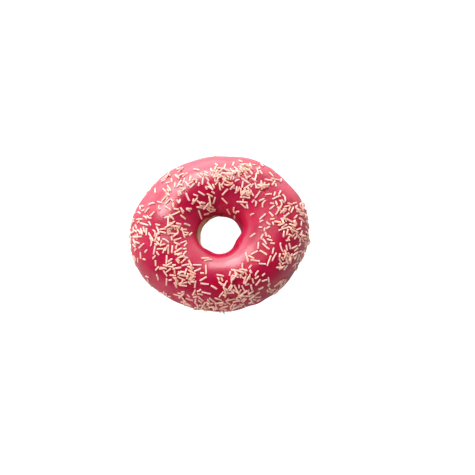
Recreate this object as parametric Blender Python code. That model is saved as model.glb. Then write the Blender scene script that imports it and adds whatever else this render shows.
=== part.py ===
"""An iced ring doughnut: a fried dough ring and the icing that coats it from its crown to below its waist.

Metres, +Z up. The doughnut rests on z = 0 with the hole's axis on Z and its long axis along X.
Each piece starts as a torus whose every vertex is then moved to its place on a cross-section.
"""

import math

import bpy

# The whole doughnut, icing included: each is a mean, from which the unevenness below departs
LONG_AXIS = 0.0903
SHORT_AXIS = 0.0816
HEIGHT = 0.0308
HOLE_RADIUS = 0.01033
WAIST_HEIGHT = 0.0152

# The icing, the hairline that keeps it clear of the dough, and how it thins towards its edges: over lips of
# these widths, and as bluntly as the powers say, where 0.5 is a round edge and 1 a thin wedge
ICING_THICKNESS = 0.0014
HAIRLINE = 0.0003
COAT = HAIRLINE + ICING_THICKNESS
OUTER_LIP = 0.0016
INNER_LIP = 0.0042
OUTER_EDGE = 0.5
INNER_EDGE = 1.0
LIP_BEAD = 0.00030
BLUNT_EDGE = 0.0002

# The dough's cross-section: superellipse exponents, the sole's flat and the seam between its fried halves.
# The slope into the hole is fuller where it rises, as (degrees round the ring, rise, half-width in degrees)
CROWN_FULLNESS = 2.15
INNER_FULLNESS_RISES = ((350, 1.1, 50),)
SOLE_FULLNESS = 2.5
SOLE_SQUASH = 0.0006
SEAM_DEPTH = 0.0005
SEAM_HEIGHT = -0.0045
SEAM_SPREAD = 0.0022

# Unevenness, as (order, amplitude, phase in degrees) of each wave round the ring
OUTER_WAVES = ((1, 0.00011, 80), (3, 0.00021, 61), (4, 0.00013, 84), (5, 0.00012, 49), (6, 0.00018, 0),
               (7, 0.00024, 51), (10, 0.00015, 12))
HOLE_WAVES = ((1, 0.00178, 281), (2, 0.00102, 54), (3, 0.00030, 4), (4, 0.00035, 85), (5, 0.00012, 62),
              (6, 0.00015, 37), (7, 0.00015, 35))
CREST_WAVES = ((1, 0.0029, 281),)
CROWN_WAVES = ((1, 0.00040, 150), (2, 0.00030, 20), (3, 0.00025, 75))
# How soon, up the slope from the hole's neck, the hole's unevenness fades into the round crest
NECK_REACH = 3.0

# The icing's lower edges, as heights above the waist, and the runs of icing below them, as
# (degrees round the ring, depth, half-width in degrees)
OUTER_HEM = -0.0052
OUTER_HEM_WAVES = ((1, 0.0014, 80), (2, 0.0005, 60), (5, 0.0006, 20), (9, 0.0004, 11))
OUTER_RUNS = ((22, 0.0022, 6), (77, 0.0014, 8), (131, 0.0026, 5), (196, 0.0016, 7),
              (238, 0.0012, 6), (287, 0.0024, 5), (333, 0.0015, 8))
INNER_HEM = -0.0042
INNER_HEM_WAVES = ((3, 0.0003, 85), (7, 0.0002, 9))
INNER_RUNS = ((130, -0.0016, 20),)
# Inside the hole the icing's edge climbs from BARE_START degrees round the ring to BARE_TOP, drops back from
# BARE_FALL to BARE_END, and leaves the dough bare below it
BARE_START = 83
BARE_TOP = 190
BARE_FALL = 222
BARE_END = 290
BARE_RISE = 0.0117
BARE_EASE = 0.70

# How finely each piece is faceted
SEGMENTS_ROUND = 60
DOUGH_POINTS = 30
ICING_FACE_POINTS = 22
ICING_BACK_POINTS = 24
# How far the points of the icing's face crowd towards its edges, and the turn over which a normal is measured
EDGE_CROWDING = 0.11
NORMAL_STEP = 0.02
# The torus that each ring is shaped from
TORUS_RADIUS = LONG_AXIS / 3
TORUS_THICKNESS = LONG_AXIS / 6


def wave(angle, terms):
    """The sum of a few cosines round the ring."""
    return sum(size * math.cos(order * (angle - math.radians(phase))) for order, size, phase in terms)


def bump(angle, centre, half_width):
    """A smooth rise to 1 at centre degrees, and 0 away from it."""
    apart = (math.degrees(angle) - centre + 180) % 360 - 180
    return math.exp(-((apart / half_width) ** 2))


def runs(angle, places):
    """How far an edge of the icing has run down here."""
    return sum(depth * bump(angle, centre, half_width) for centre, depth, half_width in places)


def outer_radius(angle):
    """From the hole's axis to the outside of the icing."""
    a, b = LONG_AXIS / 2, SHORT_AXIS / 2
    return a * b / math.hypot(b * math.cos(angle), a * math.sin(angle)) + wave(angle, OUTER_WAVES)


def hole_radius(angle):
    """From the hole's axis to the iced neck of the hole."""
    return HOLE_RADIUS + wave(angle, HOLE_WAVES)


def crest_radius(angle):
    """From the hole's axis to the crest of the ring, which is rounder than the hole."""
    return (outer_radius(angle) + HOLE_RADIUS) / 2 + wave(angle, CREST_WAVES)


def inner_fullness(angle):
    """The superellipse exponent of the slope into the hole, which is flatter on top at the ring's right."""
    return CROWN_FULLNESS + runs(angle, INNER_FULLNESS_RISES)


def crown_rise(angle):
    """From the waist to the top of the dough."""
    return HEIGHT - COAT - WAIST_HEIGHT + wave(angle, CROWN_WAVES)


def power(value, exponent):
    return math.copysign(abs(value) ** exponent, value)


def share(value):
    return min(1.0, max(0.0, value))


def inner_hem(angle):
    """How high above the waist the icing ends inside the hole. It climbs the wall on the bare side."""
    degrees = math.degrees(angle) % 360
    climb = share((degrees - BARE_START) / (BARE_TOP - BARE_START)) ** BARE_EASE
    fall = share((BARE_END - degrees) / (BARE_END - BARE_FALL))
    bare = BARE_RISE * climb * fall * fall * (3 - 2 * fall)
    return INNER_HEM + wave(angle, INNER_HEM_WAVES) + bare - runs(angle, INNER_RUNS)


def outer_hem(angle):
    """How high above the waist the icing ends outside: below 0, and lowest where the icing has run."""
    return OUTER_HEM + wave(angle, OUTER_HEM_WAVES) - runs(angle, OUTER_RUNS)


def dough_hole_radius(angle):
    """From the hole's axis to the dough's neck, which stands back only by the icing that hangs over it."""
    hole = hole_radius(angle)
    lip, fullness = max(0.0, inner_hem(angle)) / crown_rise(angle), inner_fullness(angle)
    overhang = (crest_radius(angle) - hole) * (1 - (1 - lip**fullness) ** (1 / fullness))
    return hole + max(0.0, COAT - overhang)


def dough_point(angle, turn):
    """(radius, height above the waist) of the dough's skin, at a turn round its cross-section.

    A turn of 0 is the outside, a quarter the crown, a half the hole and three quarters the sole.
    """
    outside, crest, hole = outer_radius(angle) - COAT, crest_radius(angle), dough_hole_radius(angle)
    crown = math.sin(turn) > 0
    slope_fullness = CROWN_FULLNESS if math.cos(turn) > 0 else inner_fullness(angle)
    fullness = slope_fullness if crown else SOLE_FULLNESS
    rise = crown_rise(angle) if crown else WAIST_HEIGHT + SOLE_SQUASH
    height = max(rise * power(math.sin(turn), 2 / fullness), -WAIST_HEIGHT)
    seam = SEAM_DEPTH * math.exp(-(((height - SEAM_HEIGHT) / SEAM_SPREAD) ** 2))
    across = power(math.cos(turn), 2 / fullness)
    if across > 0:
        return crest + (outside - crest - seam) * across, height
    round_hole = HOLE_RADIUS + COAT
    inwards = crest + (crest - round_hole - seam) * across + (hole - round_hole) * abs(across) ** NECK_REACH
    return inwards, height


def skin_point(angle, turn, lift):
    """A point at a height of lift above the dough's skin, square to its cross-section."""
    ahead, behind = dough_point(angle, turn + NORMAL_STEP), dough_point(angle, turn - NORMAL_STEP)
    along = (ahead[0] - behind[0], ahead[1] - behind[1])
    length = math.hypot(*along)
    radius, height = dough_point(angle, turn)
    return radius + lift * along[1] / length, height - lift * along[0] / length


def turn_at_height(angle, height, crown_fullness):
    """The turn from the side of the cross-section to the skin at this height."""
    fullness, rise = (
        (crown_fullness, crown_rise(angle)) if height > 0 else (SOLE_FULLNESS, WAIST_HEIGHT + SOLE_SQUASH)
    )
    return math.asin(power(height / rise, fullness / 2))


def hem_turns(angle):
    """Where the icing's outer and inner edges lie on the cross-section."""
    first = turn_at_height(angle, outer_hem(angle), CROWN_FULLNESS)
    return first, math.pi - turn_at_height(angle, inner_hem(angle), inner_fullness(angle))


def icing_thickness(from_edge, lip, edge):
    """The icing's thickness at a distance from an edge, over which a lip of this width rises and swells."""
    rise = (1 - max(0.0, 1 - from_edge / lip) ** 2) ** edge
    swelling = LIP_BEAD * math.exp(-(((from_edge - lip) / lip) ** 2))
    return (ICING_THICKNESS + swelling) * rise


def dough_section(angle):
    """The dough's closed outline at an angle round the ring."""
    return [dough_point(angle, 2 * math.pi * step / DOUGH_POINTS) for step in range(DOUGH_POINTS)]


def icing_section(angle):
    """The icing's closed outline: over its face from the outer edge to the hole, and back along the dough."""
    first, last = hem_turns(angle)
    tube_radius = (outer_radius(angle) - hole_radius(angle)) / 2
    outline = []
    for step in range(ICING_FACE_POINTS):
        even = step / (ICING_FACE_POINTS - 1)
        turn = first + (last - first) * (even - EDGE_CROWDING * math.sin(2 * math.pi * even))
        from_outer = tube_radius * (turn - first) + BLUNT_EDGE
        from_inner = tube_radius * (last - turn) + BLUNT_EDGE
        outer_lip = icing_thickness(from_outer, OUTER_LIP, OUTER_EDGE)
        inner_lip = icing_thickness(from_inner, INNER_LIP, INNER_EDGE)
        outline.append(skin_point(angle, turn, HAIRLINE + min(outer_lip, inner_lip)))
    for step in range(ICING_BACK_POINTS):
        turn = last + (first - last) * step / (ICING_BACK_POINTS - 1)
        outline.append(skin_point(angle, turn, HAIRLINE))
    return outline


def crumb_material(name, colour, roughness):
    material = bpy.data.materials.new(name)
    material.use_nodes = True
    shader = material.node_tree.nodes["Principled BSDF"]
    shader.inputs["Base Color"].default_value = (*colour, 1.0)
    shader.inputs["Roughness"].default_value = roughness
    shader.inputs["Metallic"].default_value = 0.0
    return material


def add_ring(name, section, material, parent, collection):
    """A torus whose vertices at each angle are moved to lie on section(angle), set at the waist's height."""
    points = len(section(0.0))
    bpy.ops.mesh.primitive_torus_add(
        major_segments=SEGMENTS_ROUND,
        minor_segments=points,
        major_radius=TORUS_RADIUS,
        minor_radius=TORUS_THICKNESS,
        location=(0.0, 0.0, WAIST_HEIGHT),
    )
    ring = bpy.context.object
    ring.name = name
    for segment in range(SEGMENTS_ROUND):
        angle = 2 * math.pi * segment / SEGMENTS_ROUND
        for place, (radius, height) in enumerate(section(angle)):
            vertex = ring.data.vertices[segment * points + place]
            vertex.co = (radius * math.cos(angle), radius * math.sin(angle), height)
    ring.data.materials.append(material)
    ring.data.shade_smooth()
    ring.parent = parent
    for home in list(ring.users_collection):
        home.objects.unlink(ring)
    collection.objects.link(ring)
    return ring


def build():
    for existing in list(bpy.data.objects):
        bpy.data.objects.remove(existing)
    doughnut = bpy.data.collections.new("doughnut")
    bpy.context.scene.collection.children.link(doughnut)
    hole_axis = bpy.data.objects.new("hole_axis", None)
    doughnut.objects.link(hole_axis)
    fried_crust = crumb_material("fried_crust", (0.46, 0.21, 0.07), 0.70)
    berry_icing = crumb_material("berry_icing", (0.58, 0.02, 0.07), 0.25)
    add_ring("dough", dough_section, fried_crust, hole_axis, doughnut)
    add_ring("icing", icing_section, berry_icing, hole_axis, doughnut)


build()
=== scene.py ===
"""A sprinkle frosted doughnut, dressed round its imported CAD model.

Fried dough and poured icing take the place of the plain solids, and sugar strands are strewn over them.
"""

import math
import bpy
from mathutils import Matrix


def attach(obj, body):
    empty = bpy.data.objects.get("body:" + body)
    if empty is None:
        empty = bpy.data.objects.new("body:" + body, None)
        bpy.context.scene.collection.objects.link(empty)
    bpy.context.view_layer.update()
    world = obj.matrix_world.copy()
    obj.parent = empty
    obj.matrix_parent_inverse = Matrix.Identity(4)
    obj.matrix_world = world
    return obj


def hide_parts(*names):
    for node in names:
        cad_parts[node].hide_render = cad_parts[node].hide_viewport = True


bl_info = {
    "name": "Sprinkle frosted doughnut",
    "version": (1, 0, 0),
    "blender": (4, 5, 0),
    "location": "3D Viewport > Sidebar > Doughnut",
    "description": "Makes an iced ring doughnut with sugar strands, and the plain studio that it stands in",
    "category": "Add Mesh",
}

import bpy
import numpy as np
from bpy.props import FloatProperty, FloatVectorProperty, IntProperty, PointerProperty
from bpy.types import Operator, Panel, PropertyGroup
from mathutils import Vector
from mathutils.bvhtree import BVHTree

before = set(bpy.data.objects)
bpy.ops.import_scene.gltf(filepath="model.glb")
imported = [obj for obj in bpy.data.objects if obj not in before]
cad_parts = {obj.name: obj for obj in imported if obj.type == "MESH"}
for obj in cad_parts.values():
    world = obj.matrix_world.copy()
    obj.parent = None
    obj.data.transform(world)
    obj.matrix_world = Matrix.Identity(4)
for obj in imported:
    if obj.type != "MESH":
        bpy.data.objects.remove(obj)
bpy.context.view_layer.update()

MILLIMETRE = 0.001

# The ring's own sizes, the same as its solids have, in metres
LONG_AXIS = 0.0903
SHORT_AXIS = 0.0816
HEIGHT = 0.0308
HOLE_RADIUS = 0.01033
WAIST_HEIGHT = 0.0152
ICING_THICKNESS = 0.0014
HAIRLINE = 0.0003
COAT = HAIRLINE + ICING_THICKNESS
OUTER_LIP = 0.0016
INNER_LIP = 0.0042
LIP_BEAD = 0.00030
OUTER_EDGE = 0.5
INNER_EDGE = 1.0
CROWN_FULLNESS = 2.15
SOLE_FULLNESS = 2.5
SOLE_SQUASH = 0.0006
SEAM_DEPTH = 0.0005
SEAM_HEIGHT = -0.0045
SEAM_SPREAD = 0.0022
# The waves' sizes and places were fitted by a separate program, and rounded
OUTER_WAVES = ((1, 0.00011, 80), (3, 0.00021, 61), (4, 0.00013, 84), (5, 0.00012, 49), (6, 0.00018, 0),
               (7, 0.00024, 51), (10, 0.00015, 12))
HOLE_WAVES = ((1, 0.00178, 281), (2, 0.00102, 54), (3, 0.00030, 4), (4, 0.00035, 85), (5, 0.00012, 62),
              (6, 0.00015, 37), (7, 0.00015, 35))
CROWN_WAVES = ((1, 0.00040, 150), (2, 0.00030, 20), (3, 0.00025, 75))
OUTER_HEM = -0.0052
OUTER_HEM_WAVES = ((1, 0.0014, 80), (2, 0.0005, 60), (5, 0.0006, 20), (9, 0.0004, 11))
OUTER_RUNS = ((22, 0.0022, 6), (77, 0.0014, 8), (131, 0.0026, 5), (196, 0.0016, 7),
              (238, 0.0012, 6), (287, 0.0024, 5), (333, 0.0015, 8))
INNER_HEM = -0.0042
INNER_HEM_WAVES = ((3, 0.0003, 85), (7, 0.0002, 9))
INNER_RUNS = ((130, -0.0016, 20),)
BARE_START = 83
BARE_TOP = 190
BARE_FALL = 222
BARE_END = 290
BARE_RISE = 0.0117
BARE_EASE = 0.70
CREST_WAVES = ((1, 0.0029, 281),)
INNER_FULLNESS_RISES = ((350, 1.1, 50),)
NECK_REACH = 3.0
NORMAL_STEP = 0.02


def wave(angle, terms):
    """The sum of a few cosines round the ring, each as (order, amplitude, phase in degrees)."""
    return sum(size * np.cos(order * (angle - math.radians(phase))) for order, size, phase in terms)


def runs(angle, places):
    """How far an edge of the icing has run down here.

    Each place is (degrees round the ring, depth, half-width in degrees).
    """
    degrees = np.degrees(angle)
    return sum(
        depth * np.exp(-((((degrees - centre + 180) % 360 - 180) / half_width) ** 2))
        for centre, depth, half_width in places
    )


def outer_radius(angle):
    """From the hole's axis to the outside of the icing."""
    a, b = LONG_AXIS / 2, SHORT_AXIS / 2
    return a * b / np.hypot(b * np.cos(angle), a * np.sin(angle)) + wave(angle, OUTER_WAVES)


def hole_radius(angle):
    """From the hole's axis to the iced neck of the hole."""
    return HOLE_RADIUS + wave(angle, HOLE_WAVES)


def crest_radius(angle):
    """From the hole's axis to the crest of the ring, which is rounder than the hole."""
    return (outer_radius(angle) + HOLE_RADIUS) / 2 + wave(angle, CREST_WAVES)


def inner_fullness(angle):
    """The superellipse exponent of the slope into the hole, which is flatter on top at the ring's right."""
    return CROWN_FULLNESS + runs(angle, INNER_FULLNESS_RISES)


def crown_rise(angle):
    """From the waist to the top of the dough."""
    return HEIGHT - COAT - WAIST_HEIGHT + wave(angle, CROWN_WAVES)


def power(value, exponent):
    return np.copysign(np.abs(value) ** exponent, value)


def inner_hem(angle):
    """How high above the waist the icing ends inside the hole, where it climbs slowly up the bare side."""
    degrees = np.degrees(angle) % 360
    climb = np.clip((degrees - BARE_START) / (BARE_TOP - BARE_START), 0.0, 1.0) ** BARE_EASE
    fall = np.clip((BARE_END - degrees) / (BARE_END - BARE_FALL), 0.0, 1.0)
    bare = BARE_RISE * climb * fall * fall * (3 - 2 * fall)
    return INNER_HEM + wave(angle, INNER_HEM_WAVES) + bare - runs(angle, INNER_RUNS)


def outer_hem(angle):
    """How high above the waist the icing ends outside: below 0, and lowest where the icing has run."""
    return OUTER_HEM + wave(angle, OUTER_HEM_WAVES) - runs(angle, OUTER_RUNS)


def dough_hole_radius(angle):
    """From the hole's axis to the dough's neck, which stands back only by the icing that hangs over it."""
    hole = hole_radius(angle)
    lip, fullness = np.maximum(0.0, inner_hem(angle)) / crown_rise(angle), inner_fullness(angle)
    overhang = (crest_radius(angle) - hole) * (1 - (1 - lip**fullness) ** (1 / fullness))
    return hole + np.maximum(0.0, COAT - overhang)


def dough_point(angle, turn):
    """(radius, height above the waist) of the dough's skin, at a turn round its cross-section.

    A turn of 0 is the outside, a quarter the crown, a half the hole and three quarters the sole.
    """
    outside, crest, hole = outer_radius(angle) - COAT, crest_radius(angle), dough_hole_radius(angle)
    crown = np.sin(turn) > 0
    slope_fullness = np.where(np.cos(turn) > 0, CROWN_FULLNESS, inner_fullness(angle))
    fullness = np.where(crown, slope_fullness, SOLE_FULLNESS)
    rise = np.where(crown, crown_rise(angle), WAIST_HEIGHT + SOLE_SQUASH)
    height = np.maximum(rise * power(np.sin(turn), 2 / fullness), -WAIST_HEIGHT)
    seam = SEAM_DEPTH * np.exp(-(((height - SEAM_HEIGHT) / SEAM_SPREAD) ** 2))
    across = power(np.cos(turn), 2 / fullness)
    outwards = crest + (outside - crest - seam) * across
    round_hole = HOLE_RADIUS + COAT
    unevenness = (hole - round_hole) * np.abs(across) ** NECK_REACH
    inwards = crest + (crest - round_hole - seam) * across + unevenness
    return np.where(across > 0, outwards, inwards), height


def skin_point(angle, turn, lift):
    """A point in space at a height of lift above the dough's skin, square to its cross-section."""
    ahead, behind = dough_point(angle, turn + NORMAL_STEP), dough_point(angle, turn - NORMAL_STEP)
    along = (ahead[0] - behind[0], ahead[1] - behind[1])
    length = np.hypot(*along)
    radius, height = dough_point(angle, turn)
    radius = radius + lift * along[1] / length
    height = height - lift * along[0] / length
    return np.stack((radius * np.cos(angle), radius * np.sin(angle), WAIST_HEIGHT + height), axis=-1)


def turn_at_height(angle, height, crown_fullness):
    """The turn from the side of the cross-section to the skin at this height."""
    above = height > 0
    fullness = np.where(above, crown_fullness, SOLE_FULLNESS)
    rise = np.where(above, crown_rise(angle), WAIST_HEIGHT + SOLE_SQUASH)
    return np.arcsin(power(height / rise, fullness / 2))


def hem_turns(angle):
    """Where the icing's outer and inner edges lie on the cross-section."""
    first = turn_at_height(angle, outer_hem(angle), CROWN_FULLNESS)
    return first, math.pi - turn_at_height(angle, inner_hem(angle), inner_fullness(angle))


def tube_radius(angle):
    return (outer_radius(angle) - hole_radius(angle)) / 2


def icing_thickness(from_edge, lip, edge):
    """The icing's thickness at a distance from an edge, over which a lip of this width rises and swells."""
    rise = np.maximum(0.0, 1 - np.maximum(0.0, 1 - from_edge / lip) ** 2) ** edge
    swelling = LIP_BEAD * np.exp(-(((from_edge - lip) / lip) ** 2))
    return (ICING_THICKNESS + swelling) * rise


def icing_lift(angle, turn):
    """How high the icing's face stands above the dough's skin."""
    first, last = hem_turns(angle)
    from_outer = tube_radius(angle) * (turn - first)
    from_inner = tube_radius(angle) * (last - turn)
    thickness = np.minimum(
        icing_thickness(from_outer, OUTER_LIP, OUTER_EDGE), icing_thickness(from_inner, INNER_LIP, INNER_EDGE)
    )
    return HAIRLINE * np.clip(thickness / ICING_THICKNESS, 0.0, 1.0) + thickness


def ripple(points, wavelength, seed, waves=28):
    """A smooth unevenness in space, of about -1 to 1, with swells about half a wavelength across."""
    dice = np.random.default_rng(seed)
    directions = dice.normal(size=(waves, 3))
    directions *= 2 * math.pi / (np.linalg.norm(directions, axis=1, keepdims=True) * wavelength)
    directions *= dice.uniform(0.7, 1.4, (waves, 1))
    phases = dice.uniform(0, 2 * math.pi, waves)
    total = sum(np.cos(points @ direction + phase) for direction, phase in zip(directions, phases))
    return total * math.sqrt(2 / waves) / 2


# How finely the pieces are meshed
ROUND_STEPS = 480
ICING_MIDDLE_STEPS = 90
ICING_LIP_STEPS = 14
ICING_BACK_STEPS = 26
DOUGH_STEPS = 150

# Sugar: the drifts that the strands have fallen in, as (degrees round the ring, degrees round its
# cross-section from the outside, spread in millimetres, strands). They were picked by eye, and a separate
# program turned most of their places into degrees
DRIFTS = (
    # From the right, over the far side
    (2, 59, 3.4, 14), (3, 110, 3.6, 2), (10, 80, 3.5, 10), (16, 88, 4.2, 9), (21, 62, 3.0, 4),
    (30, 70, 4.5, 9),
    (32, 99, 3.1, 5), (25, 106, 3.6, 5), (35, 153, 3.0, 8), (36, 122, 3.4, 2), (37, 91, 3.4, 17),
    (45, 101, 3.8, 6), (49, 79, 4.0, 8), (56, 98, 3.8, 9), (58, 88, 4.0, 8), (60, 72, 3.8, 7),
    (66, 99, 3.8, 12), (70, 92, 3.8, 7), (74, 74, 4.2, 12), (82, 125, 3.2, 6), (89, 103, 3.9, 10),
    (93, 92, 3.6, 8),
    # From the far side, over the left
    (101, 145, 2.2, 12), (110, 115, 4.0, 9), (111, 68, 4.4, 15), (120, 138, 3.2, 7), (124, 42, 4.0, 10),
    (126, 84, 4.2, 12), (128, 118, 3.8, 6), (136, 61, 3.8, 8), (147, 84, 3.8, 5), (148, 48, 3.6, 2),
    (150, 96, 3.0, 4), (152, 128, 3.6, 3), (155, 40, 3.0, 3), (165, 98, 3.4, 6), (170, 38, 3.0, 8),
    (171, 61, 3.0, 5), (178, 122, 3.2, 7), (180, 109, 3.0, 6), (181, 87, 3.2, 20), (184, 33, 4.2, 8),
    # From the left, over the near side
    (188, 112, 3.4, 8), (205, 106, 3.4, 8), (216, 100, 3.0, 6), (191, 86, 3.4, 10), (199, 98, 3.5, 10),
    (200, 22, 4.4, 5), (203, 73, 3.8, 8), (211, 73, 3.8, 12), (220, 73, 3.8, 6), (221, 52, 3.4, 8),
    (230, 78, 3.2, 10), (230, 91, 3.4, 5), (232, 57, 3.8, 11), (239, 9, 4.2, 12), (239, 83, 3.6, 6),
    (239, 100, 3.4, 4), (243, 42, 5.0, 7),
    (249, 9, 4.4, 18), (261, 12, 4.2, 17), (262, 75, 3.6, 9), (267, 48, 3.6, 4), (269, 87, 3.0, 4),
    # From the near side, back to the right
    (270, 32, 3.4, 8), (277, 8, 3.8, 11), (277, 77, 3.6, 8), (278, 54, 3.6, 13), (283, 92, 3.2, 12),
    (287, 8, 4.0, 8), (290, 28, 4.4, 8), (290, 67, 3.2, 7), (302, 8, 4.4, 9), (305, 98, 3.4, 3),
    (314, 68, 3.8, 7), (316, 43, 3.8, 5), (318, 12, 4.4, 5), (321, 54, 3.8, 7), (326, 104, 3.2, 7),
    (328, 63, 3.6, 9), (334, 100, 3.2, 3), (335, 20, 4.2, 6), (335, 42, 3.2, 5), (338, 92, 3.6, 6),
    (340, 59, 3.4, 16), (343, 33, 3.2, 7), (347, 63, 3.4, 12), (350, 16, 4.0, 5),
    (358, 44, 3.2, 8), (358, 92, 3.6, 4),
)
# Bare places, where no loose strand falls, as (degrees round the ring, degrees round its cross-section,
# half-widths in millimetres)
BARE_PLACES = (
    (250, 135, 17, 12), (150, 140, 14, 9), (200, 135, 12, 9), (310, 140, 14, 8), (60, 150, 16, 7),
    (78, 35, 26, 8), (20, 30, 12, 7), (125, 35, 14, 6), (300, 20, 13, 8), (190, 60, 6, 4), (215, 30, 8, 5),
)


# The middle of the ring's cross-section and half its width, as the strands' places take them
RING_MIDDLE = 0.0265
RING_HALF_WIDTH = 0.0165
# The radius at which a strand's sideways fall is turned into an angle
FALL_RADIUS = 0.03
# How far from its place a strand falls, and how many falls it tries
DRIFT_FALL = (0.0007, 7)
LOOSE_FALL = (0.0012, 5)
# The stretch of the cross-section on which loose strands fall, in degrees from the outside
LOOSE_REACH = (-14, 178)
# How near the icing's edges a strand's middle may lie, as a turn of the cross-section
OUTER_MARGIN = 0.16
INNER_MARGIN = 0.30


# Meshes -------------------------------------------------------------------------------------------


def ring_mesh(name, points):
    """A closed tube from points[round the ring, round the cross-section]."""
    rounds, sides = points.shape[:2]
    here = np.arange(rounds * sides).reshape(rounds, sides)
    onward = np.roll(here, -1, axis=0)
    quads = np.stack((here, onward, np.roll(onward, -1, axis=1), np.roll(here, -1, axis=1)), axis=-1)
    return smooth_mesh(name, points.reshape(-1, 3), quads.reshape(-1, 4))


def smooth_mesh(name, points, quads):
    mesh = bpy.data.meshes.new(name)
    mesh.vertices.add(len(points))
    mesh.vertices.foreach_set("co", np.asarray(points, np.float32).ravel())
    mesh.loops.add(quads.size)
    mesh.loops.foreach_set("vertex_index", np.asarray(quads, np.int32).ravel())
    mesh.polygons.add(len(quads))
    mesh.polygons.foreach_set("loop_start", np.arange(0, quads.size, quads.shape[1], dtype=np.int32))
    mesh.update(calc_edges=True)
    mesh.validate()
    mesh.shade_smooth()
    piece = bpy.data.objects.new(name, mesh)
    bpy.context.scene.collection.objects.link(piece)
    return piece


def ring_angles():
    return (2 * math.pi * np.arange(ROUND_STEPS) / ROUND_STEPS)[:, None]


def dough_surface(settings):
    angle = ring_angles()
    turn = (2 * math.pi * np.arange(DOUGH_STEPS) / DOUGH_STEPS)[None, :]
    smooth = skin_point(angle, turn, 0.0)
    above_floor = np.clip(smooth[..., 2] / (2 * MILLIMETRE), 0.0, 1.0)
    relief = ripple(smooth, 0.009, 11) + 0.45 * ripple(smooth, 0.0032, 12)
    return skin_point(angle, turn, -settings.wrinkle * (0.6 + relief) * above_floor)


def icing_surface(settings):
    angle = ring_angles()
    first, last = hem_turns(angle)
    width = tube_radius(angle) * (last - first)
    quarter = np.linspace(0, math.pi / 2, ICING_LIP_STEPS)[None, :]
    outer = OUTER_LIP * (1 - np.cos(quarter)) + 0 * width
    inner = width - INNER_LIP * (1 - np.cos(quarter[:, ::-1]))
    middle = np.linspace(0, 1, ICING_MIDDLE_STEPS + 2)[None, 1:-1]
    middle = OUTER_LIP + (width - OUTER_LIP - INNER_LIP) * middle
    turn = first + np.concatenate((outer, middle, inner), axis=1) / tube_radius(angle)
    lift = icing_lift(angle, turn)
    smooth = skin_point(angle, turn, lift)
    swell = settings.undulation * (ripple(smooth, 0.016, 21) + 0.15 * ripple(smooth, 0.006, 22))
    face = skin_point(angle, turn, lift * (1 + swell / ICING_THICKNESS))
    back_turn = last + (first - last) * np.linspace(0, 1, ICING_BACK_STEPS)[None, :]
    back = skin_point(angle, back_turn, -0.35 * MILLIMETRE)
    return np.concatenate((face, back), axis=1)


# Materials ----------------------------------------------------------------------------------------


def fill_ramp(elements, stops):
    """Gives a colour ramp its stops, as (position, colour)."""
    while len(elements) < len(stops):
        elements.new(0.5)
    for element, (position, colour) in zip(elements, stops):
        element.position = position
        element.color = (*colour, 1.0)


class Recipe:
    """A material's node tree, written out node by node."""

    def __init__(self, name):
        self.material = bpy.data.materials.new(name)
        self.material.use_nodes = True
        self.tree = self.material.node_tree
        self.shader = self.tree.nodes["Principled BSDF"]
        self.column = 0

    def node(self, kind, label, **settings):
        made = self.tree.nodes.new(kind)
        made.label = label
        made.location = (-1400 + 180 * self.column, 300 - 90 * (self.column % 4))
        self.column += 1
        for key, value in settings.items():
            setattr(made, key, value)
        return made

    def link(self, output, target):
        self.tree.links.new(output, target)

    def noise(self, label, where, scale, detail=2.0, roughness=0.5, distortion=0.0):
        noise = self.node("ShaderNodeTexNoise", label)
        noise.inputs["Scale"].default_value = scale
        noise.inputs["Detail"].default_value = detail
        noise.inputs["Roughness"].default_value = roughness
        noise.inputs["Distortion"].default_value = distortion
        self.link(where, noise.inputs["Vector"])
        return noise.outputs["Fac"]

    def ramp(self, label, value, stops):
        ramp = self.node("ShaderNodeValToRGB", label)
        fill_ramp(ramp.color_ramp.elements, stops)
        self.link(value, ramp.inputs["Fac"])
        return ramp.outputs["Color"]

    def mix(self, label, share, first, second, blend="MIX"):
        mix = self.node("ShaderNodeMix", label, data_type="RGBA", blend_type=blend)
        for socket, value in ((mix.inputs[0], share), (mix.inputs[6], first), (mix.inputs[7], second)):
            if isinstance(value, bpy.types.NodeSocket):
                self.link(value, socket)
            else:
                socket.default_value = value if socket == mix.inputs[0] else (*value, 1.0)
        return mix.outputs[2]

    def calculate(self, label, operation, first, second, third=0.0):
        sums = self.node("ShaderNodeMath", label, operation=operation)
        for socket, value in zip(sums.inputs, (first, second, third)):
            if isinstance(value, bpy.types.NodeSocket):
                self.link(value, socket)
            else:
                socket.default_value = value
        return sums.outputs[0]

    def span(self, label, value, low, high, to_low=0.0, to_high=1.0):
        span = self.node("ShaderNodeMapRange", label)
        for socket, number in zip(span.inputs[1:5], (low, high, to_low, to_high)):
            socket.default_value = number
        self.link(value, span.inputs["Value"])
        return span.outputs["Result"]

    def relief(self, label, height, distance, strength=1.0, under=None):
        bump_node = self.node("ShaderNodeBump", label)
        bump_node.inputs["Distance"].default_value = distance
        bump_node.inputs["Strength"].default_value = strength
        self.link(height, bump_node.inputs["Height"])
        if under is not None:
            self.link(under, bump_node.inputs["Normal"])
        return bump_node.outputs["Normal"]

    def finish(self, **values):
        for name, value in values.items():
            socket = self.shader.inputs[name.replace("_", " ")]
            if isinstance(value, bpy.types.NodeSocket):
                self.link(value, socket)
            else:
                socket.default_value = value
        return self.material


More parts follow.
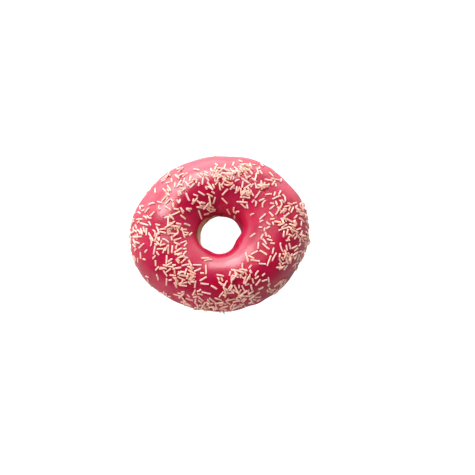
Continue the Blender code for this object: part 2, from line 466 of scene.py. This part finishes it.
def icing_material(settings):
    recipe = Recipe("raspberry_icing")
    where = recipe.node("ShaderNodeTexCoord", "Place on the doughnut").outputs["Object"]
    cloud = recipe.noise("Thick and thin", where, 90, detail=3.0)
    grain = recipe.noise("Sugar grain", where, 900, detail=2.0)
    colour = tuple(settings.colour)
    deep = tuple(part * 0.90 for part in colour)
    pale = tuple(min(1.0, part * 1.06 + 0.004) for part in colour)
    mottle = recipe.ramp("Mottle", cloud, ((0.35, deep), (0.65, pale)))
    recipe.link(mottle, recipe.shader.inputs["Base Color"])
    roughness = recipe.span("Gloss", cloud, 0.3, 0.7, settings.roughness - 0.025, settings.roughness + 0.03)
    pocks = recipe.relief("Fine grain", grain, 0.00002, 0.5)
    return recipe.finish(
        Roughness=roughness,
        Normal=pocks,
        IOR=1.60,
        Subsurface_Weight=settings.clearness,
        Subsurface_Radius=(1.0, 0.22, 0.14),
        Subsurface_Scale=0.0040,
    )


def dough_material(settings):
    recipe = Recipe("fried_crust")
    where = recipe.node("ShaderNodeTexCoord", "Place on the doughnut").outputs["Object"]
    split = recipe.node("ShaderNodeSeparateXYZ", "Height")
    recipe.link(where, split.inputs["Vector"])
    patches = recipe.noise("Browning", where, 110, detail=4.0, roughness=0.55)
    speckle = recipe.noise("Crumb", where, 900, detail=3.0, roughness=0.6)
    wobble = recipe.calculate("Wandering edge", "MULTIPLY_ADD", patches, 0.006, -0.003)
    height = recipe.calculate("Height with it", "ADD", split.outputs["Z"], wobble)
    low = recipe.span("Out of the fat", height, 0.0060, 0.0100)
    high = recipe.span("Under the fat", height, 0.0192, 0.0220, 1.0, 0.0)
    band = recipe.calculate("Pale waist", "MULTIPLY", low, high)
    crust, dark, pale = tuple(settings.crust), tuple(settings.dark_crust), tuple(settings.pale_band)
    brown = recipe.mix("Crust", recipe.span("Patches", patches, 0.35, 0.7), dark, crust)
    brown = recipe.mix("Specks", recipe.span("Speckle", speckle, 0.55, 0.75, 0.0, 0.35), brown, pale)
    colour = recipe.mix("Crust and band", band, brown, pale)
    recipe.link(colour, recipe.shader.inputs["Base Color"])
    wrinkles = recipe.noise("Wrinkles", where, 380, detail=4.0, roughness=0.6, distortion=0.8)
    skin = recipe.relief("Wrinkled skin", wrinkles, 0.00035, 0.7)
    pores = recipe.relief("Pores", speckle, 0.00015, 0.6, skin)
    return recipe.finish(
        Roughness=recipe.span("Dull and greasy", patches, 0.3, 0.7, 0.62, 0.48),
        Normal=pores,
        Subsurface_Weight=0.15,
        Subsurface_Radius=(1.0, 0.5, 0.25),
        Subsurface_Scale=0.0012,
        IOR=1.4,
    )


def strand_material(settings):
    recipe = Recipe("pressed_sugar")
    where = recipe.node("ShaderNodeTexCoord", "Place on the doughnut").outputs["Object"]
    tint = recipe.node("ShaderNodeAttribute", "Each strand's own tint", attribute_name="tint")
    chalk = recipe.noise("Chalk", where, 1400, detail=2.0)
    colour = recipe.mix("Cream", tint.outputs["Fac"], tuple(settings.colour), tuple(settings.warm_colour))
    dusty = recipe.mix("Dust", recipe.span("Dusting", chalk, 0.45, 0.75, 0.0, 0.3), colour, (1.0, 0.80, 0.72))
    recipe.link(dusty, recipe.shader.inputs["Base Color"])
    return recipe.finish(
        Roughness=recipe.span("Waxed and worn", chalk, 0.3, 0.7, 0.42, 0.58),
        Normal=recipe.relief("Pressed grain", chalk, 0.00004, 0.6),
        Subsurface_Weight=0.25,
        Subsurface_Radius=(1.0, 0.7, 0.45),
        Subsurface_Scale=0.0006,
        IOR=1.45,
    )


# Sugar strands ------------------------------------------------------------------------------------

SPINE_POINTS = 7
STRAND_SIDES = 10
# Along a strand: (share of its half-length, inset from its end in strand radii, share of its radius)
STRAND_RINGS = ((-1, 0.0, 0.60), (-1, 0.16, 0.90), (-1, 0.42, 1.0), (-0.4, 0, 1.0), (0, 0, 1.0),
                (0.4, 0, 1.0), (1, 0.42, 1.0), (1, 0.16, 0.90), (1, 0.0, 0.60))
STEEPEST = 0.60
SLOPE_STEP = 0.03
PROBE_HEIGHT = 0.006
PROBE_LENGTH = 0.014
# How much farther off than its own length a strand looks for others, and how closely two of them lie
NEIGHBOUR_REACH = 0.004
CONTACT_SHARE = 0.97
# How evenly long the strands are, and how much their thickness, bend, cut ends and section differ
LENGTH_EVENNESS = 9.0
THICKNESS_SPREAD = (0.93, 1.07)
BENT_CURL = 0.45
STRAIGHT_CURL = 0.05
END_SLANT = 0.16
END_DOME = 0.08
GIRTH_SPREAD = 0.025
OVALNESS = (0.93, 1.0)


class Sprinkler:
    """Drops strands one after another on the icing, so that each rests on what already lies there."""

    def __init__(self, icing, settings):
        mesh = icing.data
        self.surface = BVHTree.FromPolygons(
            [v.co.copy() for v in mesh.vertices], [tuple(p.vertices) for p in mesh.polygons]
        )
        self.settings = settings
        self.dice = np.random.default_rng(settings.seed)
        self.centres = np.zeros((0, 3))
        self.radii = np.zeros(0)
        self.strands = []

    def place(self, angle, turn):
        """The icing's face at a place, and its normal."""
        angle, turn = np.float64(angle), np.float64(turn)
        point = skin_point(angle, turn, icing_lift(angle, turn))
        ahead = skin_point(angle, turn + SLOPE_STEP, ICING_THICKNESS)
        onward = skin_point(angle + SLOPE_STEP, turn, ICING_THICKNESS)
        here = skin_point(angle, turn, ICING_THICKNESS)
        normal = np.cross(onward - here, ahead - here)
        return point, normal / np.linalg.norm(normal)

    def ground(self, point, normal):
        """How far above the tangent plane at a point the icing lies, or None where there is none."""
        start = Vector(point + normal * PROBE_HEIGHT)
        hit = self.surface.ray_cast(start, Vector(-normal), PROBE_LENGTH)
        return None if hit[0] is None else PROBE_HEIGHT - hit[3]

    def trial(self, angle, turn, heading, length, radius, curl):
        """Where a strand dropped at a place comes to rest, or None if it would stand too steeply."""
        origin, normal = self.place(angle, turn)
        east = np.array((-math.sin(angle), math.cos(angle), 0.0))
        east -= normal * (east @ normal)
        east /= np.linalg.norm(east)
        north = np.cross(normal, east)
        along = math.cos(heading) * east + math.sin(heading) * north
        side = np.cross(normal, along)
        reach = np.linspace(-0.5, 0.5, SPINE_POINTS) * (length - radius)
        bow = curl * (reach**2 - reach[-1] ** 2 / 3)
        spine = origin + reach[:, None] * along + bow[:, None] * side
        heights = np.empty(SPINE_POINTS)
        for place, point in enumerate(spine):
            ground = self.ground(point, normal)
            if ground is None:
                return None
            heights[place] = ground + radius - self.settings.sink
        close = self.centres - origin
        near = np.einsum("ij,ij->i", close, close) < (length + NEIGHBOUR_REACH) ** 2
        if near.any():
            others, radii = self.centres[near], self.radii[near]
            offset = others[None, :, :] - spine[:, None, :]
            rise = offset @ normal
            apart = np.einsum("ijk,ijk->ij", offset, offset) - rise**2
            contact = (radius + radii)[None, :] * CONTACT_SHARE
            over = np.where(apart < contact**2, rise + np.sqrt(np.maximum(contact**2 - apart, 0.0)), -1.0)
            heights = np.maximum(heights, over.max(axis=1))
        rest, slope = resting_line(reach, heights)
        if abs(slope) > STEEPEST:
            return None
        return rest, slope, (origin, normal, along, side)

    def drop(self, angle, turn, spread, tries):
        """Drops one strand near a place, and keeps the lowest of a few trials."""
        dice, settings = self.dice, self.settings
        length = dice.gamma(LENGTH_EVENNESS, settings.length / LENGTH_EVENNESS)
        length = float(np.clip(length, settings.shortest, settings.longest))
        radius = settings.thickness / 2 * dice.uniform(*THICKNESS_SPREAD)
        bent = dice.random() < settings.bent_share
        curl = dice.normal(0, BENT_CURL if bent else STRAIGHT_CURL) / length
        best = None
        for _ in range(tries):
            shift = dice.normal(0, spread, 2)
            here = angle + shift[0] / FALL_RADIUS
            there = turn + shift[1] / RING_HALF_WIDTH
            first, last = hem_turns(np.float64(here))
            if not first + OUTER_MARGIN < there < last - INNER_MARGIN:
                continue
            found = self.trial(here, there, dice.uniform(0, math.pi), length, radius, curl)
            if found is not None and (best is None or found[0] < best[0]):
                best = found
        if best is None:
            return
        rest, slope, (origin, normal, along, side) = best
        lean = math.atan(slope)
        axis = math.cos(lean) * along + math.sin(lean) * normal
        top = np.cross(axis, side)
        centre = origin + rest * normal
        reach = np.linspace(-0.5, 0.5, SPINE_POINTS) * (length - radius)
        bow = curl * (reach**2 - reach[-1] ** 2 / 3)
        spine = centre + reach[:, None] * axis + bow[:, None] * side
        self.centres = np.concatenate((self.centres, spine))
        self.radii = np.concatenate((self.radii, np.full(SPINE_POINTS, radius)))
        self.strands.append((centre, axis, side, top, length, radius, curl))


def radius_at(turn):
    """Nearly how far a place on the cross-section lies from the hole's axis."""
    return RING_MIDDLE + RING_HALF_WIDTH * math.cos(turn)


def in_place(angle, turn, place):
    """Whether a strand's place lies in one of the oval bare places."""
    centre, middle, half_round, half_across = place
    apart = math.radians((math.degrees(angle) - centre + 180) % 360 - 180)
    across = turn - math.radians(middle)
    round_share = apart * radius_at(math.radians(middle)) / (half_round * MILLIMETRE)
    across_share = across * RING_HALF_WIDTH / (half_across * MILLIMETRE)
    return round_share**2 + across_share**2 < 1


def resting_line(reach, heights):
    """(height at the middle, slope) of a straight line that lies balanced on the highest of these points."""
    centre = heights[len(reach) // 2]
    for left in range(len(reach)):
        for right in range(left + 1, len(reach)):
            if reach[left] <= 0 <= reach[right]:
                slope = (heights[right] - heights[left]) / (reach[right] - reach[left])
                middle = heights[left] - slope * reach[left]
                clears_all = (heights - (middle + slope * reach) < 1e-7).all()
                if middle >= centre - 1e-9 and clears_all:
                    return middle, slope
    return heights.max(), 0.0


def strand_meshes(strands, dice):
    """Every strand's vertices and faces in one mesh, and the tint of each vertex."""
    around = 2 * math.pi * np.arange(STRAND_SIDES) / STRAND_SIDES
    rings = len(STRAND_RINGS)
    here = np.arange(rings * STRAND_SIDES).reshape(rings, STRAND_SIDES)
    onward = np.roll(here, -1, axis=1)
    sides = np.stack((here[:-1], onward[:-1], onward[1:], here[1:]), axis=-1).reshape(-1, 4)
    tail, tip = rings * STRAND_SIDES, rings * STRAND_SIDES + 1
    points, quads, triangles, tints = [], [], [], []
    for number, (centre, axis, side, top, length, radius, curl) in enumerate(strands):
        slant = dice.normal(0, END_SLANT, (2, 2))
        girth = 1 + dice.normal(0, GIRTH_SPREAD, rings)
        oval = dice.uniform(*OVALNESS)
        own = []
        for ring, (share, inset, girth_share) in enumerate(STRAND_RINGS):
            end = 0 if share < 0 else 1
            reach = share * length / 2 - math.copysign(inset * radius, share) * (abs(share) == 1)
            tilt = slant[end] @ np.stack((np.cos(around), np.sin(around))) * radius * (abs(share) == 1)
            spot = reach + tilt * girth_share
            bow = curl * (spot**2 - (length / 2) ** 2 / 3)
            width = radius * girth_share * girth[ring]
            own.append(
                centre
                + spot[:, None] * axis
                + (bow + width * np.cos(around))[:, None] * side
                + (width * oval * np.sin(around))[:, None] * top
            )
        own = np.concatenate(own)
        ends = (own[:STRAND_SIDES].mean(axis=0) - axis * END_DOME * radius,
                own[-STRAND_SIDES:].mean(axis=0) + axis * END_DOME * radius)
        base = number * (rings * STRAND_SIDES + 2)
        points.append(np.concatenate((own, ends)))
        quads.append(sides + base)
        tails, tips = np.full(STRAND_SIDES, tail), np.full(STRAND_SIDES, tip)
        triangles.append(np.stack((here[0], tails, onward[0]), axis=-1) + base)
        triangles.append(np.stack((here[-1], onward[-1], tips), axis=-1) + base)
        tints.append(np.full(rings * STRAND_SIDES + 2, dice.beta(2, 2)))
    return np.concatenate(points), np.concatenate(quads), np.concatenate(triangles), np.concatenate(tints)


# The panel's settings -----------------------------------------------------------------------------


class DoughSettings(PropertyGroup):
    crust: FloatVectorProperty(
        name="Crust", description="Fried crust where it is lighter", subtype="COLOR", min=0, max=1,
        default=(0.42, 0.17, 0.05))
    dark_crust: FloatVectorProperty(
        name="Dark crust", description="Fried crust where it has browned most", subtype="COLOR", min=0, max=1,
        default=(0.24, 0.08, 0.022))
    pale_band: FloatVectorProperty(
        name="Pale band", description="Dough round the waist, which the fat did not reach", subtype="COLOR",
        min=0, max=1, default=(0.88, 0.70, 0.45))
    wrinkle: FloatProperty(
        name="Wrinkles", description="Depth of the crust's unevenness", unit="LENGTH", default=0.00016)


class IcingSettings(PropertyGroup):
    colour: FloatVectorProperty(
        name="Icing", description="Colour of the icing", subtype="COLOR", min=0, max=1,
        default=(0.50, 0.0034, 0.052))
    roughness: FloatProperty(
        name="Roughness", description="How soft the icing's highlights are", min=0, max=1, default=0.30)
    clearness: FloatProperty(
        name="Clearness", description="How much light passes under the icing's skin", min=0, max=1,
        default=0.65)
    undulation: FloatProperty(
        name="Undulation", description="How much the icing's face swells and dips", unit="LENGTH",
        default=0.00014)


class StrandSettings(PropertyGroup):
    colour: FloatVectorProperty(
        name="Cream", description="Colour of the palest strands", subtype="COLOR", min=0, max=1,
        default=(1.0, 0.61, 0.57))
    warm_colour: FloatVectorProperty(
        name="Warm cream", description="Colour of the warmest strands", subtype="COLOR", min=0, max=1,
        default=(0.99, 0.56, 0.40))
    thickness: FloatProperty(
        name="Thickness", description="A strand's diameter", unit="LENGTH", default=0.00088)
    length: FloatProperty(name="Length", description="A strand's usual length", unit="LENGTH", default=0.0032)
    shortest: FloatProperty(name="Shortest", description="The shortest piece", unit="LENGTH", default=0.0019)
    longest: FloatProperty(name="Longest", description="The longest strand", unit="LENGTH", default=0.0056)
    bent_share: FloatProperty(
        name="Bent", description="Share of the strands that are bent", subtype="FACTOR", min=0, max=1,
        default=0.2)
    sink: FloatProperty(
        name="Sink", description="How deep a strand sinks in the wet icing", unit="LENGTH", default=0.00028)
    drift_share: FloatProperty(
        name="Drifts", description="How full the drifts are", subtype="FACTOR", min=0, max=2, default=0.65)
    loose: IntProperty(name="Loose strands", description="Strands outside the drifts", min=0, default=230)
    seed: IntProperty(name="Seed", description="Which fall of strands", min=0, default=7)


class StudioSettings(PropertyGroup):
    floor_size: FloatProperty(name="Floor", description="Side of the floor", unit="LENGTH", default=6.0)
    floor_colour: FloatVectorProperty(
        name="Floor colour", description="Colour of the floor", subtype="COLOR", min=0, max=1,
        default=(0.60, 0.60, 0.60))
    floor_glow: FloatProperty(
        name="Floor glow", description="Light from the backlit floor", min=0, default=0.90)
    table_colour: FloatVectorProperty(
        name="Table colour", description="Colour of the table under the floor, which only reflections show",
        subtype="COLOR", min=0, max=1, default=(0.58, 0.56, 0.54))
    table_glow: FloatProperty(
        name="Table glow", description="Light from the table behind", min=0, default=1.0)
    room_brightness: FloatProperty(
        name="Room", description="Brightness of the room behind", min=0, default=5.4)
    key_power: FloatProperty(
        name="Key light", description="Power of the softbox behind, on the left", min=0, default=4.5)
    card_power: FloatProperty(
        name="Cards", description="Power of the side lights, which give no gloss", min=0, default=2.2)
    fill_power: FloatProperty(
        name="Fill light", description="Power of the fill in front, which gives no gloss", min=0, default=7.8)
    lens: FloatProperty(name="Lens", description="Focal length in millimetres", min=1, default=150.0)
    azimuth: FloatProperty(
        name="Azimuth", description="Where the camera stands round the doughnut", subtype="ANGLE",
        default=math.radians(-12))
    elevation: FloatProperty(
        name="Elevation", description="How far above the horizon the camera stands", subtype="ANGLE",
        default=math.radians(68))
    distance: FloatProperty(
        name="Distance", description="From the camera to the doughnut", unit="LENGTH", default=1.0)


# Operators ----------------------------------------------------------------------------------------


class DOUGHNUT_OT_fry_dough(Operator):
    """Make the fried dough ring in place of the plain one"""

    bl_idname = "doughnut.fry_dough"
    bl_label = "Fry dough"

    def execute(self, context):
        settings = context.scene.doughnut_dough
        dough = ring_mesh("fried_dough", dough_surface(settings))
        dough.data.materials.append(dough_material(settings))
        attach(dough, "root")
        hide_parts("dough")
        return {"FINISHED"}


class DOUGHNUT_OT_pour_icing(Operator):
    """Pour the icing over the dough in place of the plain one"""

    bl_idname = "doughnut.pour_icing"
    bl_label = "Pour icing"

    def execute(self, context):
        settings = context.scene.doughnut_icing
        icing = ring_mesh("poured_icing", icing_surface(settings))
        icing.data.materials.append(icing_material(settings))
        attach(icing, "root")
        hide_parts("icing")
        return {"FINISHED"}


class DOUGHNUT_OT_strew_strands(Operator):
    """Strew sugar strands over the icing, so that each rests on the icing or on other strands"""

    bl_idname = "doughnut.strew_strands"
    bl_label = "Strew strands"

    def execute(self, context):
        settings = context.scene.doughnut_strands
        icing = bpy.data.objects.get("poured_icing")
        if icing is None:
            raise RuntimeError("the strands need the icing: pour it first")
        sprinkler = Sprinkler(icing, settings)
        dice = sprinkler.dice
        falls = []
        for angle, turn, spread, count in DRIFTS:
            offsets = dice.normal(0, spread * MILLIMETRE, (round(count * settings.drift_share), 2))
            for off_round, off_across in offsets:
                place = math.radians(turn) + off_across / RING_HALF_WIDTH
                falls.append((math.radians(angle) + off_round / radius_at(place), place, *DRIFT_FALL))
        drifted = len(falls)
        while len(falls) < drifted + settings.loose:
            angle, turn = dice.uniform(0, 2 * math.pi), math.radians(dice.uniform(*LOOSE_REACH))
            if dice.random() * radius_at(0) > radius_at(turn):
                continue
            if any(in_place(angle, turn, place) for place in BARE_PLACES):
                continue
            falls.append((angle, turn, *LOOSE_FALL))
        for number in dice.permutation(len(falls)):
            sprinkler.drop(*falls[number])
        points, quads, triangles, tints = strand_meshes(sprinkler.strands, dice)
        mesh = bpy.data.meshes.new("sugar_strands")
        mesh.from_pydata(points.tolist(), [], quads.tolist() + triangles.tolist())
        mesh.attributes.new("tint", "FLOAT", "POINT").data.foreach_set("value", tints.astype(np.float32))
        mesh.shade_smooth()
        strands = bpy.data.objects.new("sugar_strands", mesh)
        context.scene.collection.objects.link(strands)
        mesh.materials.append(strand_material(settings))
        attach(strands, "root")
        return {"FINISHED"}


# The stage ----------------------------------------------------------------------------------------

# The room is brightest at this bearing, in degrees from the camera's right towards its forward direction
ROOM_BEARING = 104
# The room's brightness, as (share of the way to its brightest direction, grey) and as (height, grey)
ROOM_BY_DIRECTION = ((0.0, 0.03), (0.30, 0.09), (0.58, 0.24), (0.80, 0.50), (0.93, 0.80), (1.0, 1.0))
ROOM_BY_HEIGHT = ((0.0, 1.0), (0.40, 0.95), (0.62, 0.45), (0.76, 0.16), (1.0, 0.08))
# Where the camera aims: this high on the hole's axis, and then to the right of it and below it
AIM_HEIGHT = 0.0156
AIM_RIGHT = 0.00909
AIM_DOWN = 0.00240


def studio_axes(settings):
    """The camera's right, its level forward direction and its line of sight."""
    azimuth, elevation = settings.azimuth, settings.elevation
    right = Vector((math.cos(azimuth), math.sin(azimuth), 0.0))
    forward = Vector((-math.sin(azimuth), math.cos(azimuth), 0.0))
    sight = forward * math.cos(elevation) - Vector((0, 0, math.sin(elevation)))
    return right, forward, sight


def room_axis(settings):
    """The level direction in which the room is brightest: behind the doughnut, a little to its left."""
    right, forward, _ = studio_axes(settings)
    turn = math.radians(ROOM_BEARING)
    return right * math.cos(turn) + forward * math.sin(turn)


def add_softbox(name, settings, direction, distance, side, power):
    """A square area light in a direction given as right, forward and up of the camera."""
    right, forward, _ = studio_axes(settings)
    towards = (right * direction[0] + forward * direction[1] + Vector((0, 0, direction[2]))).normalized()
    light = bpy.data.lights.new(name, "AREA")
    light.shape = "SQUARE"
    light.size = side
    light.energy = power
    lamp = bpy.data.objects.new(name, light)
    bpy.context.scene.collection.objects.link(lamp)
    lamp.location = towards * distance
    lamp.rotation_euler = (-towards).to_track_quat("-Z", "Y").to_euler()
    return lamp


class DOUGHNUT_OT_set_stage(Operator):
    """Set up the pale floor, the soft lights and the camera"""

    bl_idname = "doughnut.set_stage"
    bl_label = "Set stage"

    def execute(self, context):
        settings = context.scene.doughnut_studio
        self.add_floor(settings)
        self.add_world(settings)
        add_softbox("key_softbox", settings, (-0.13, 0.67, 0.73), 0.8, 0.34, settings.key_power)
        left = add_softbox("left_card", settings, (-0.78, 0.05, 0.62), 1.2, 0.8, settings.card_power)
        fill = add_softbox("front_fill", settings, (-0.48, -0.58, 0.66), 1.1, 1.0, settings.fill_power)
        right = add_softbox("right_card", settings, (0.62, 0.42, 0.66), 1.2, 0.8, settings.card_power)
        left.visible_glossy = right.visible_glossy = fill.visible_glossy = False
        self.add_camera(context, settings)
        context.scene.view_settings.view_transform = "Standard"
        return {"FINISHED"}

    def add_floor(self, settings):
        """The backlit floor and backdrop that show, and the table that only reflections and shade see."""
        half = settings.floor_size / 2
        corners = [(-half, -half, 0), (half, -half, 0), (half, half, 0), (-half, half, 0)]
        corners += [(x, y, half) for x, y, _ in corners]
        walls = [(side, (side + 1) % 4, (side + 1) % 4 + 4, side + 4) for side in range(4)]
        for name, colour, glow in (
            ("studio_floor", settings.floor_colour, settings.floor_glow),
            ("studio_table", settings.table_colour, settings.table_glow),
        ):
            shows = name == "studio_floor"
            mesh = bpy.data.meshes.new(name)
            mesh.from_pydata(corners if shows else corners[:4], [], [(0, 1, 2, 3)] + (walls if shows else []))
            plane = bpy.data.objects.new(name, mesh)
            bpy.context.scene.collection.objects.link(plane)
            recipe = Recipe(name)
            if not shows:
                where = recipe.node("ShaderNodeTexCoord", "Place on the table").outputs["Object"]
                behind = recipe.node("ShaderNodeVectorMath", "How far behind", operation="DOT_PRODUCT")
                behind.inputs[1].default_value = room_axis(settings)
                recipe.link(where, behind.inputs[0])
                glow = recipe.span("Lit from behind", behind.outputs["Value"], 0.03, 0.12, 0.0, glow)
            mesh.materials.append(recipe.finish(
                Base_Color=(*colour, 1.0),
                Roughness=0.9,
                Emission_Color=(1.0, 1.0, 1.0, 1.0),
                Emission_Strength=glow,
            ))
            plane.visible_camera = shows
            plane.visible_diffuse = plane.visible_glossy = plane.visible_transmission = not shows
            plane.visible_shadow = False

    def add_world(self, settings):
        world = bpy.data.worlds.new("studio")
        bpy.context.scene.world = world
        world.use_nodes = True
        nodes, links = world.node_tree.nodes, world.node_tree.links
        where = nodes.new("ShaderNodeTexCoord")
        side = nodes.new("ShaderNodeVectorMath")
        side.operation = "DOT_PRODUCT"
        side.inputs[1].default_value = room_axis(settings)
        links.new(where.outputs["Generated"], side.inputs[0])
        split = nodes.new("ShaderNodeSeparateXYZ")
        links.new(where.outputs["Generated"], split.inputs["Vector"])
        both = nodes.new("ShaderNodeMath")
        both.operation = "MULTIPLY"
        for socket, value, stops in (
            (0, side.outputs["Value"], ROOM_BY_DIRECTION),
            (1, split.outputs["Z"], ROOM_BY_HEIGHT),
        ):
            ramp = nodes.new("ShaderNodeValToRGB")
            fill_ramp(ramp.color_ramp.elements, [(position, (grey, grey, grey)) for position, grey in stops])
            links.new(value, ramp.inputs["Fac"])
            links.new(ramp.outputs["Color"], both.inputs[socket])
        brightness = nodes.new("ShaderNodeMath")
        brightness.operation = "MULTIPLY"
        brightness.inputs[1].default_value = settings.room_brightness
        links.new(both.outputs[0], brightness.inputs[0])
        links.new(brightness.outputs[0], nodes["Background"].inputs["Strength"])
        nodes["Background"].inputs["Color"].default_value = (1.0, 1.0, 1.0, 1.0)

    def add_camera(self, context, settings):
        right, _, sight = studio_axes(settings)
        upward = right.cross(sight)
        aim = Vector((0.0, 0.0, AIM_HEIGHT)) + right * AIM_RIGHT - upward * AIM_DOWN
        data = bpy.data.cameras.new("camera")
        data.lens = settings.lens
        camera = bpy.data.objects.new("camera", data)
        context.scene.collection.objects.link(camera)
        camera.location = aim - sight * settings.distance
        camera.rotation_euler = sight.to_track_quat("-Z", "Y").to_euler()
        context.scene.camera = camera


class DOUGHNUT_PT_panel(Panel):
    """The doughnut's settings and the steps that make it"""

    bl_idname = "DOUGHNUT_PT_panel"
    bl_label = "Sprinkle frosted doughnut"
    bl_space_type = "VIEW_3D"
    bl_region_type = "UI"
    bl_category = "Doughnut"

    def draw(self, context):
        for step, settings in STEPS:
            box = self.layout.box()
            box.operator(step.bl_idname)
            group = getattr(context.scene, settings)
            for name in group.bl_rna.properties.keys():
                if name not in ("rna_type", "name"):
                    box.prop(group, name)


STEPS = (
    (DOUGHNUT_OT_fry_dough, "doughnut_dough"),
    (DOUGHNUT_OT_pour_icing, "doughnut_icing"),
    (DOUGHNUT_OT_strew_strands, "doughnut_strands"),
    (DOUGHNUT_OT_set_stage, "doughnut_studio"),
)
GROUPS = (
    ("doughnut_dough", DoughSettings),
    ("doughnut_icing", IcingSettings),
    ("doughnut_strands", StrandSettings),
    ("doughnut_studio", StudioSettings),
)


def register():
    for name, group in GROUPS:
        bpy.utils.register_class(group)
        setattr(bpy.types.Scene, name, PointerProperty(type=group))
    for step, _ in STEPS:
        bpy.utils.register_class(step)
    bpy.utils.register_class(DOUGHNUT_PT_panel)


def unregister():
    bpy.utils.unregister_class(DOUGHNUT_PT_panel)
    for step, _ in reversed(STEPS):
        bpy.utils.unregister_class(step)
    for name, group in reversed(GROUPS):
        delattr(bpy.types.Scene, name)
        bpy.utils.unregister_class(group)


def main():
    register()
    bpy.ops.doughnut.fry_dough()
    bpy.ops.doughnut.pour_icing()
    bpy.ops.doughnut.strew_strands()
    bpy.ops.doughnut.set_stage()


if __name__ == "__main__":
    main()
